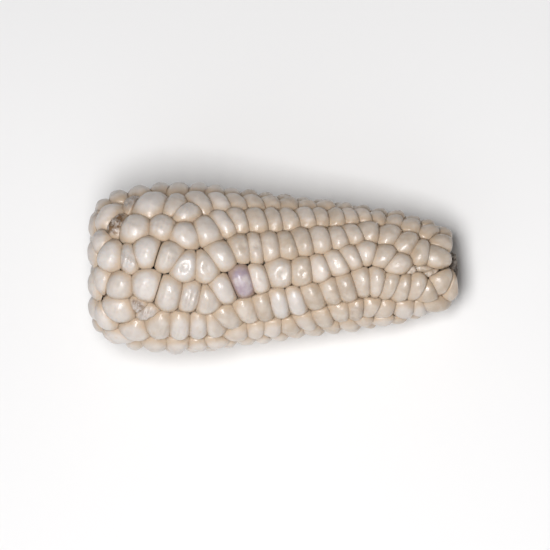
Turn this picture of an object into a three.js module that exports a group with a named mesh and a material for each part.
// An ear of white maize with its husk off, lying on its side: kernels in rows on a woody cob.
// Millimetres and degrees, +Z up. The broad butt of the ear points along -X and its tip along +X.
import * as THREE from 'three';

// The envelope of the kernel crowns: distance along the axis and radius, from the edge of the
// hollow round the shank, over the butt, along the side and in to the bare tip of the cob.
const ENVELOPE = [
  [3.0, 7.5], [0.6, 11.0], [0.2, 14.5], [1.6, 18.6], [4.6, 21.8], [9.0, 24.1], [15.0, 25.8],
  [24.0, 26.8], [34.0, 26.5], [44.0, 25.1], [54.0, 23.6], [66.0, 22.1], [80.0, 20.3],
  [92.0, 18.3], [101.0, 16.4], [108.0, 13.9], [112.4, 11.1], [114.6, 7.6],
];
const FIRST_EDGE = 1.0; // where the kernels begin and end, as a distance along the envelope
const LAST_EDGE = 130.0;

// How the ear lies: turned about its own axis, then tipped until its side lies along the surface.
// The kernels it lies on stand a little lower, so that its underside is flat by this much.
const ROLL = 12.0;
const TIP_DOWN = 8.0;
const FLAT = 1.0;
const LOWEST_FROM = 30; // the part of the ear, along the envelope, that can come to lie on a surface
const LOWEST_TO = 110;
const SINK_TOLERANCE = 0.001;

// One kernel: how deep it sits, how its sides taper, and how far its crown is rounded off.
const KERNEL_GAP = 0.3;
const DEPTH_PER_RADIUS = 0.36;
const LEAST_DEPTH = 3.2;
const BUTT_DEPTH = 0.68; // how much of that depth there is where the kernels turn in round the shank
const BUTT_TURN_FROM = 12;
const BUTT_TURN_OVER = 16;
const SHOULDER_DROP = 2.2; // less on the slim tip, in proportion to the radius there
const SHOULDER_RADIUS = 18;
const CROWN_SCALE = 0.62;
const BASE_SCALE_ALONG = 0.78;
const BASE_SCALE_AROUND = 0.9;
const SWELL_WEIGHT = 16.0; // square millimetres for each millimetre that a kernel swells by
const SHORTEST_EDGE = 0.6;
const REACH_ALONG = 9.5; // no kernel is larger than this each way from its seed
const REACH_AROUND = 11;
const NEIGHBOURS_WITHIN = 2.4 * REACH_ALONG;

// Kernels press each other into place, so the seed of each cell moves until the cell is centred
// on the place where its kernel is.
const SETTLING_ROUNDS = 5;
const SETTLING_SHARE = 0.6;
const FURTHEST_SEED = 1.8;

// The cob.
const COB_CLEARANCE = 1.2;
const BUTT_CLEARANCE = 1.4; // more under the big kernels that lean round the butt
const COB_SIDES = 28;
const COB_FROM = 5; // the part of the cob that carries kernels, along the envelope
const COB_TO = 117;
const COB_STEP = 8;
const SHANK_STUB = [[3.4, 0], [3.4, 5.0], [4.3, 6.2], [6.4, 6.6], [7.4, 9.4]];
const BARE_TIP = [[106.4, 5.0], [110.5, 4.9], [113.6, 4.8], [115.0, 4.1], [115.6, 2.2], [115.8, 0]];

// Rows are 360 / 14 degrees apart at mid ear, and turn about the axis as they run to the tip.
const ROWS = 14;
const ROW_STEP = 360 / ROWS;
const TOP_ROW_ANGLE = 74;
const TURN = [
  [0, -12], [25, -13], [54, -12], [66, -6.5], [79, 0], [91, 6.5], [100, 14.5], [106, 13], [132, 11],
];

// The six rows of the ear's best side, kernel by kernel from butt to tip: distance along the
// envelope, angle about the axis (0 is up), and for odd ones how much they swell and how low
// their crown sits. They have no formula, because the basal kernels grew where they had room.
const PLACED_ROWS = {
  1: [[26, 60, -1.6, 1.4], [32.2, 56, 0.5], [40, 52], [44, 43], [47.7, 59, -0.3], [53.9, 61],
    [59.2, 65], [64.5, 68], [69.7, 72], [75.4, 74.5], [81, 77], [86.7, 81], [92.7, 85],
    [98.3, 87], [103.8, 88], [109.2, 87], [114.5, 86], [119.6, 85], [125, 88]],
  2: [[7, 64], [16, 55], [20.3, 39, -0.6, 1.5], [26.9, 32.5, 0.4], [35.9, 31.7], [43.4, 24.4],
    [50.2, 29], [55.3, 37], [59.8, 41.5], [65.4, 43.5], [70.7, 47], [75.4, 49], [80.8, 53.5],
    [85.2, 56.5], [90.2, 58], [94.2, 61], [98.3, 66], [103, 68], [108.7, 67], [113.9, 63],
    [120.1, 60], [125.8, 51]],
  3: [[7, 20], [13.4, 27], [17.7, 9.5, 0.5], [25.1, 6.5, -0.7, 0.7], [31, 12], [38.1, 8],
    [43.4, 0], [49.9, -0.5], [54.8, 9], [60.7, 15.5], [65.1, 16], [69.7, 18.5], [75, 19.5],
    [79.8, 24], [85.2, 27], [90.8, 30.5], [95.5, 35.5], [100.5, 41.5], [106.8, 40.5],
    [112.4, 32.5], [117.4, 21], [123, 17]],
  4: [[7, -22], [14, -11], [21.5, -15.5], [31, -13], [38.1, -20, 0.3], [44.9, -22.5, 0, 0.5],
    [50.4, -26, -0.3], [55.3, -17], [61.2, -11, 0.4], [66, -9], [72.7, -4.5], [79.4, -3.5],
    [84.9, -1], [90.2, 4], [94.9, 10.5], [99.6, 16.5], [105.2, 13], [109.9, 4],
    [114, -4, -1.4, 2.2], [118.6, -1, -1.2, 2.6], [121, -9, -1.4, 2.4]],
  5: [[20.8, -37.5, 0.8], [28.2, -29.5, -1.3, 1.2], [31, -36, -1.3, 1.0], [35, -49.5],
    [41.5, -49.5], [47.4, -51], [52.7, -52], [56.8, -43], [62.6, -38], [67.6, -36], [72.6, -34],
    [77.8, -32.5], [83, -28.5], [88.6, -24], [93.3, -21], [98.3, -15.5], [102.7, -15],
    [106.8, -21], [111, -27], [115.7, -25], [119.8, -38], [124.6, -23], [128, -45, -0.5]],
  6: [[7, -64], [15.6, -53], [21.4, -73], [26.9, -57], [33.5, -75], [40.6, -75], [47.4, -76],
    [53, -75], [59.4, -65], [65.2, -63], [70.2, -63], [75.8, -63], [80.8, -58], [86.1, -54.5],
    [91.4, -50], [96.4, -48], [100.8, -48], [105.2, -54], [111.7, -62], [116.8, -69], [122.5, -70]],
};
const LILAC_ROW = 4;
const LILAC_PLACE = 8;

// The eight rows of the far side follow the general turn: first kernel, last kernel, and how much
// further the row turns near the tip, where three rows stop short and their neighbours close up.
const DRAWN_ROWS = {
  7: { first: 12.5, last: 125, tipTurn: -36 },
  8: { first: 7.0, last: 110, tipTurn: -12 },
  9: { first: 13.6, last: 126, tipTurn: -18 },
  10: { first: 7.4, last: 108, tipTurn: -8 },
  11: { first: 12.0, last: 125, tipTurn: -1 },
  12: { first: 7.0, last: 126, tipTurn: -10 },
  13: { first: 13.0, last: 109, tipTurn: 0 },
  14: { first: 7.2, last: 124, tipTurn: 5 },
};
const TIP_TURN_FROM = 100;
const TIP_TURN_OVER = 18;
const SIDE_PITCH = 5.3;
const BUTT_EXTRA_PITCH = 1.7;
const BUTT_FROM = 52;
const BUTT_OVER = 30;
const WANDER_ALONG = 0.9;
const WANDER_AROUND = 3.0;

const KERNEL_WHITE = 0xd7ccc1;
const KERNEL_LILAC = 0xb9acb3;
const COB_GREY = 0x78726d;

const outline = new THREE.SplineCurve(ENVELOPE.map(([x, r]) => new THREE.Vector2(x, r)));
outline.arcLengthDivisions = 1200;
const OUTLINE_LENGTH = outline.getLength();
const RADIANS = Math.PI / 180;

// A number from 0 to 1 that is always the same for the same seed.
function chance(seed) {
  const value = Math.sin(seed * 127.1 + 311.7) * 43758.5453;
  return value - Math.floor(value);
}

function clamp(value, low, high) {
  return Math.min(high, Math.max(low, value));
}

function clamp01(value) {
  return clamp(value, 0, 1);
}

function smoothStep(value) {
  const share = clamp01(value);
  return share * share * (3 - 2 * share);
}

// The height of a line through the given points, at one place along it.
function along(points, place) {
  let k = 1;
  while (k < points.length - 1 && points[k][0] < place) k += 1;
  const [x0, y0] = points[k - 1];
  const [x1, y1] = points[k];
  return y0 + ((y1 - y0) * (place - x0)) / (x1 - x0);
}

// A point of the envelope's profile, moved out along its normal by height.
function profilePoint(place, height) {
  const t = clamp01(place / OUTLINE_LENGTH);
  const point = outline.getPointAt(t);
  const tangent = outline.getTangentAt(t);
  return new THREE.Vector2(point.x - tangent.y * height, point.y + tangent.x * height);
}

function radiusAt(place) {
  return profilePoint(place, 0).y;
}

function kernelDepth(place) {
  const share = BUTT_DEPTH + (1 - BUTT_DEPTH) * clamp01((place - BUTT_TURN_FROM) / BUTT_TURN_OVER);
  return Math.max(LEAST_DEPTH, DEPTH_PER_RADIUS * radiusAt(place) * share);
}

// A point of space from its place along the envelope, its angle in radians and its height.
function onEar(place, angle, height) {
  const p = profilePoint(place, height);
  return new THREE.Vector3(p.x, p.y * Math.sin(angle), p.y * Math.cos(angle));
}

// How far towards the butt a place is: 0 along the side, 1 over the butt.
function towardsButt(place) {
  return clamp01((BUTT_FROM - place) / BUTT_OVER);
}

// The kernels of one far-side row, from butt to tip.
function drawnRow(row) {
  const { first, last, tipTurn } = DRAWN_ROWS[row];
  const kernels = [];
  let place = first;
  while (place < last) {
    const seed = row * 100 + kernels.length;
    const butt = towardsButt(place);
    const rowAngle = TOP_ROW_ANGLE - (row - 1) * ROW_STEP + along(TURN, place);
    const fan = tipTurn * smoothStep((place - TIP_TURN_FROM) / TIP_TURN_OVER);
    const wander = WANDER_AROUND * (chance(seed) - 0.5) * (1 + 2 * butt);
    kernels.push([place + WANDER_ALONG * (chance(seed + 0.5) - 0.5), rowAngle + fan + wander]);
    place += SIDE_PITCH + BUTT_EXTRA_PITCH * butt;
  }
  return kernels;
}

// One kernel: its own place and angle (its home), and the seed of its cell, which starts there.
function newKernel(row, number, [place, degrees, swell = 0, sunk = 0]) {
  const angle = degrees * RADIANS;
  const home = { place, angle };
  return { row, number, home, place, angle, sunk, weight: swell * SWELL_WEIGHT, radius: radiusAt(place) };
}

// Every kernel of the ear, with its row and its place in the row.
function allKernels() {
  const kernels = [];
  for (let row = 1; row <= ROWS; row += 1) {
    const measures = PLACED_ROWS[row] ?? drawnRow(row);
    measures.forEach((measure, number) => kernels.push(newKernel(row, number, measure)));
  }
  return kernels;
}

// What is left of a convex outline on the near side of a line. Each corner names the neighbour
// across the side that starts there.
function cut(outlineCorners, side, neighbour) {
  const kept = [];
  outlineCorners.forEach((corner, k) => {
    const next = outlineCorners[(k + 1) % outlineCorners.length];
    const here = side(corner);
    const there = side(next);
    if (here <= 0) kept.push(corner);
    if (here * there < 0) {
      const t = here / (here - there);
      kept.push({
        a: corner.a + t * (next.a - corner.a),
        b: corner.b + t * (next.b - corner.b),
        neighbour: here <= 0 ? neighbour : corner.neighbour,
      });
    }
  });
  return kept;
}

// The outline that a kernel would have with no neighbours.
function freeCell(kernel) {
  const turn = REACH_AROUND / kernel.radius;
  const low = Math.max(-REACH_ALONG, FIRST_EDGE - kernel.place);
  const high = Math.min(REACH_ALONG, LAST_EDGE - kernel.place);
  const corners = [[low, -turn], [high, -turn], [high, turn], [low, turn]];
  return corners.map(([a, b]) => ({ a, b, neighbour: null }));
}

// The cell that a kernel holds between its neighbours: a runs along the ear in millimetres and
// b around it in radians. Each side lies where the two kernels, swelling evenly, would meet.
function cellOf(kernel, kernels) {
  let cell = freeCell(kernel);
  for (const other of kernels) {
    const da = other.place - kernel.place;
    if (other === kernel || Math.abs(da) > NEIGHBOURS_WITHIN) continue;
    const radius = radiusAt((kernel.place + other.place) / 2);
    const turn = other.angle - kernel.angle;
    const db = Math.atan2(Math.sin(turn), Math.cos(turn));
    const distance = Math.hypot(da, radius * db);
    if (distance > NEIGHBOURS_WITHIN) continue;
    const swollen = (distance * distance + kernel.weight - other.weight) / 2;
    const limit = swollen - (KERNEL_GAP / 2) * distance;
    cell = cut(cell, (p) => da * p.a + radius * radius * db * p.b - limit, other);
  }
  return withoutShortSides(cell, kernel.radius);
}

// The middle of a cell's area.
function centroid(cell) {
  let area = 0;
  const middle = { a: 0, b: 0 };
  cell.forEach((p, k) => {
    const q = cell[(k + 1) % cell.length];
    const cross = p.a * q.b - q.a * p.b;
    area += cross / 2;
    middle.a += ((p.a + q.a) * cross) / 6;
    middle.b += ((p.b + q.b) * cross) / 6;
  });
  return { a: middle.a / area, b: middle.b / area };
}

// Moves every seed some of the way that its cell is off the kernel's home.
function settle(kernels) {
  const middles = kernels.map((kernel) => centroid(cellOf(kernel, kernels)));
  kernels.forEach((kernel, k) => {
    const { home, radius } = kernel;
    const offAlong = kernel.place + middles[k].a - home.place;
    const offAround = kernel.angle + middles[k].b - home.angle;
    const place = kernel.place - home.place - SETTLING_SHARE * offAlong;
    const angle = kernel.angle - home.angle - SETTLING_SHARE * offAround;
    kernel.place = home.place + clamp(place, -FURTHEST_SEED, FURTHEST_SEED);
    kernel.angle = home.angle + clamp(angle, -FURTHEST_SEED / radius, FURTHEST_SEED / radius);
  });
}

// Very short sides close up at their middle, which keeps the outline inside itself.
function withoutShortSides(cell, radius) {
  const kept = cell.slice();
  for (let k = 0; k < kept.length && kept.length > 4; k += 1) {
    const next = (k + 1) % kept.length;
    const p = kept[k];
    const q = kept[next];
    if (Math.hypot(q.a - p.a, radius * (q.b - p.b)) >= SHORTEST_EDGE) continue;
    kept[next] = { a: (p.a + q.a) / 2, b: (p.b + q.b) / 2, neighbour: q.neighbour };
    kept.splice(k, 1);
    k -= 1;
  }
  return kept;
}

// The pose of the lying ear, and the way down as the ear itself has it.
const turns = new THREE.Euler(ROLL * RADIANS, TIP_DOWN * RADIANS, 0, 'YXZ');
const pose = new THREE.Quaternion().setFromEuler(turns);
const DOWN = new THREE.Vector3(0, 0, -1).applyQuaternion(pose.clone().invert());
const DOWN_ANGLE = Math.atan2(DOWN.y, DOWN.z);

// How far down the round envelope would reach, less the flat.
function surfaceLevel() {
  let lowest = 0;
  for (let place = LOWEST_FROM; place < LOWEST_TO; place += 1) {
    lowest = Math.max(lowest, DOWN.dot(onEar(place, DOWN_ANGLE, 0)));
  }
  return lowest - FLAT;
}
const SURFACE = surfaceLevel();

// The three rings of corners of one kernel: base on the cob, shoulder, and edge of the crown. A
// kernel that would reach below the surface that the ear lies on sits deeper, by its excess.
function kernelRings(kernel, cell, vertices) {
  const middle = centroid(cell);
  const corners = (scaleAlong, scaleAround, height) => cell.map((corner) => {
    const a = middle.a + (corner.a - middle.a) * scaleAlong;
    const b = middle.b + (corner.b - middle.b) * scaleAround;
    return onEar(kernel.place + a, kernel.angle + b, height);
  });
  const crownAt = (height) => corners(CROWN_SCALE, CROWN_SCALE, height);
  const excess = (sunk) => Math.max(...crownAt(-sunk).map((p) => DOWN.dot(p))) - SURFACE;
  let { sunk } = kernel;
  while (excess(sunk) > SINK_TOLERANCE) sunk += excess(sunk);
  const shoulderDrop = SHOULDER_DROP * Math.min(1, kernel.radius / SHOULDER_RADIUS);
  const depth = kernelDepth(kernel.home.place);
  const ring = (points) => points.map((p) => vertices.push(p) - 1);
  return {
    base: ring(corners(BASE_SCALE_ALONG, BASE_SCALE_AROUND, -depth)),
    shoulder: ring(corners(1, 1, -shoulderDrop - sunk)),
    crown: ring(crownAt(-sunk)),
  };
}

function addQuad(triangles, p, q, r, s) {
  triangles.push(p, q, r, p, r, s);
}

function addCap(triangles, ring, facingOut) {
  for (let k = 1; k < ring.length - 1; k += 1) {
    if (facingOut) triangles.push(ring[0], ring[k], ring[k + 1]);
    else triangles.push(ring[0], ring[k + 1], ring[k]);
  }
}

// The side of a cell that faces a given neighbour, or -1.
function sideFacing(cell, neighbour) {
  return cell.findIndex((corner) => corner.neighbour === neighbour);
}

function sideLength(cell, k, radius) {
  const next = cell[(k + 1) % cell.length];
  return Math.hypot(next.a - cell[k].a, radius * (next.b - cell[k].b));
}

// For each kernel after the first, the earlier kernel of its row that it presses on most.
function flanksPressedTogether(row) {
  const pairs = [];
  row.forEach((kernel, i) => {
    if (i === 0) return;
    let best = null;
    for (const earlier of row.slice(0, i)) {
      const k = sideFacing(kernel.cell, earlier);
      const m = sideFacing(earlier.cell, kernel);
      if (k < 0 || m < 0) continue;
      const length = sideLength(kernel.cell, k, kernel.radius);
      if (!best || length > best.length) best = { kernel, earlier, k, m, length };
    }
    if (!best) throw new Error(`kernel ${kernel.number} of row ${kernel.row} touches none of its row`);
    pairs.push(best);
  });
  return pairs;
}

// One solid for a run of kernels, grown together where their flanks press on each other.
function kernelRowGeometry(row) {
  const vertices = [];
  const triangles = [];
  const pairs = flanksPressedTogether(row);
  for (const kernel of row) {
    kernel.rings = kernelRings(kernel, kernel.cell, vertices);
    kernel.open = new Set();
  }
  for (const { kernel, earlier, k, m } of pairs) {
    kernel.open.add(k);
    earlier.open.add(m);
    joinFlanks(triangles, kernel.rings, k, earlier.rings, m);
  }
  for (const { rings, open } of row) {
    addCap(triangles, rings.base, false);
    addCap(triangles, rings.crown, true);
    rings.base.forEach((corner, k) => {
      const next = (k + 1) % rings.base.length;
      const [low, lowNext] = [rings.shoulder[k], rings.shoulder[next]];
      if (!open.has(k)) addQuad(triangles, corner, rings.base[next], lowNext, low);
      addQuad(triangles, low, lowNext, rings.crown[next], rings.crown[k]);
    });
  }
  const geometry = new THREE.BufferGeometry();
  const numbers = vertices.flatMap((vertex) => vertex.toArray());
  geometry.setAttribute('position', new THREE.Float32BufferAttribute(numbers, 3));
  geometry.setIndex(triangles);
  return geometry;
}

// Four walls across the crack between two facing flanks, in place of the flanks themselves.
function joinFlanks(triangles, mine, k, other, m) {
  const k1 = (k + 1) % mine.base.length;
  const m1 = (m + 1) % other.base.length;
  addQuad(triangles, mine.base[k], mine.base[k1], other.base[m], other.base[m1]);
  addQuad(triangles, mine.base[k1], mine.shoulder[k1], other.shoulder[m], other.base[m]);
  addQuad(triangles, mine.shoulder[k1], mine.shoulder[k], other.shoulder[m1], other.shoulder[m]);
  addQuad(triangles, mine.shoulder[k], mine.base[k], other.base[m1], other.shoulder[m1]);
}

// The woody cob: a stub of shank in the hollow of the butt, the part under the kernels, and the
// bare tip. Its profile is turned about the ear's axis.
function cobGeometry() {
  const under = [];
  for (let place = COB_FROM; place <= COB_TO; place += COB_STEP) {
    const clearance = COB_CLEARANCE + BUTT_CLEARANCE * towardsButt(place);
    under.push(profilePoint(place, -kernelDepth(place) - clearance));
  }
  const ends = (points) => points.map(([x, r]) => new THREE.Vector2(x, r));
  const profile = [...ends(SHANK_STUB), ...under, ...ends(BARE_TIP)];
  const geometry = new THREE.LatheGeometry(profile.map((p) => new THREE.Vector2(p.y, p.x)), COB_SIDES);
  geometry.rotateZ(-Math.PI / 2);
  return geometry;
}

function finish(colour, roughness) {
  return new THREE.MeshStandardMaterial({ color: colour, roughness, metalness: 0 });
}

function addMesh(parent, name, geometry, material) {
  const mesh = new THREE.Mesh(geometry, material);
  mesh.name = name;
  parent.add(mesh);
}

function buildEar() {
  const ear = new THREE.Group();
  const white = finish(KERNEL_WHITE, 0.3);
  addMesh(ear, 'cob', cobGeometry(), finish(COB_GREY, 0.85));
  const kernels = allKernels();
  for (let round = 0; round < SETTLING_ROUNDS; round += 1) settle(kernels);
  for (const kernel of kernels) kernel.cell = cellOf(kernel, kernels);
  for (let row = 1; row <= ROWS; row += 1) {
    const name = `kernel_row_${String(row).padStart(2, '0')}`;
    const run = kernels.filter((kernel) => kernel.row === row);
    if (row === LILAC_ROW) {
      addMesh(ear, `${name}_butt`, kernelRowGeometry(run.slice(0, LILAC_PLACE)), white);
      addMesh(ear, 'lilac_kernel', kernelRowGeometry([run[LILAC_PLACE]]), finish(KERNEL_LILAC, 0.3));
      addMesh(ear, `${name}_tip`, kernelRowGeometry(run.slice(LILAC_PLACE + 1)), white);
    } else {
      addMesh(ear, name, kernelRowGeometry(run), white);
    }
  }
  return ear;
}

// The ear as it lies: rolled, tipped, lowered onto z = 0 and centred over the origin.
const ear = buildEar();
ear.quaternion.copy(pose);
const lying = new THREE.Group();
lying.add(ear);
lying.updateMatrixWorld(true);
const box = new THREE.Box3().setFromObject(lying, true);
ear.position.set(-(box.min.x + box.max.x) / 2, -(box.min.y + box.max.y) / 2, -box.min.z);

export default lying;
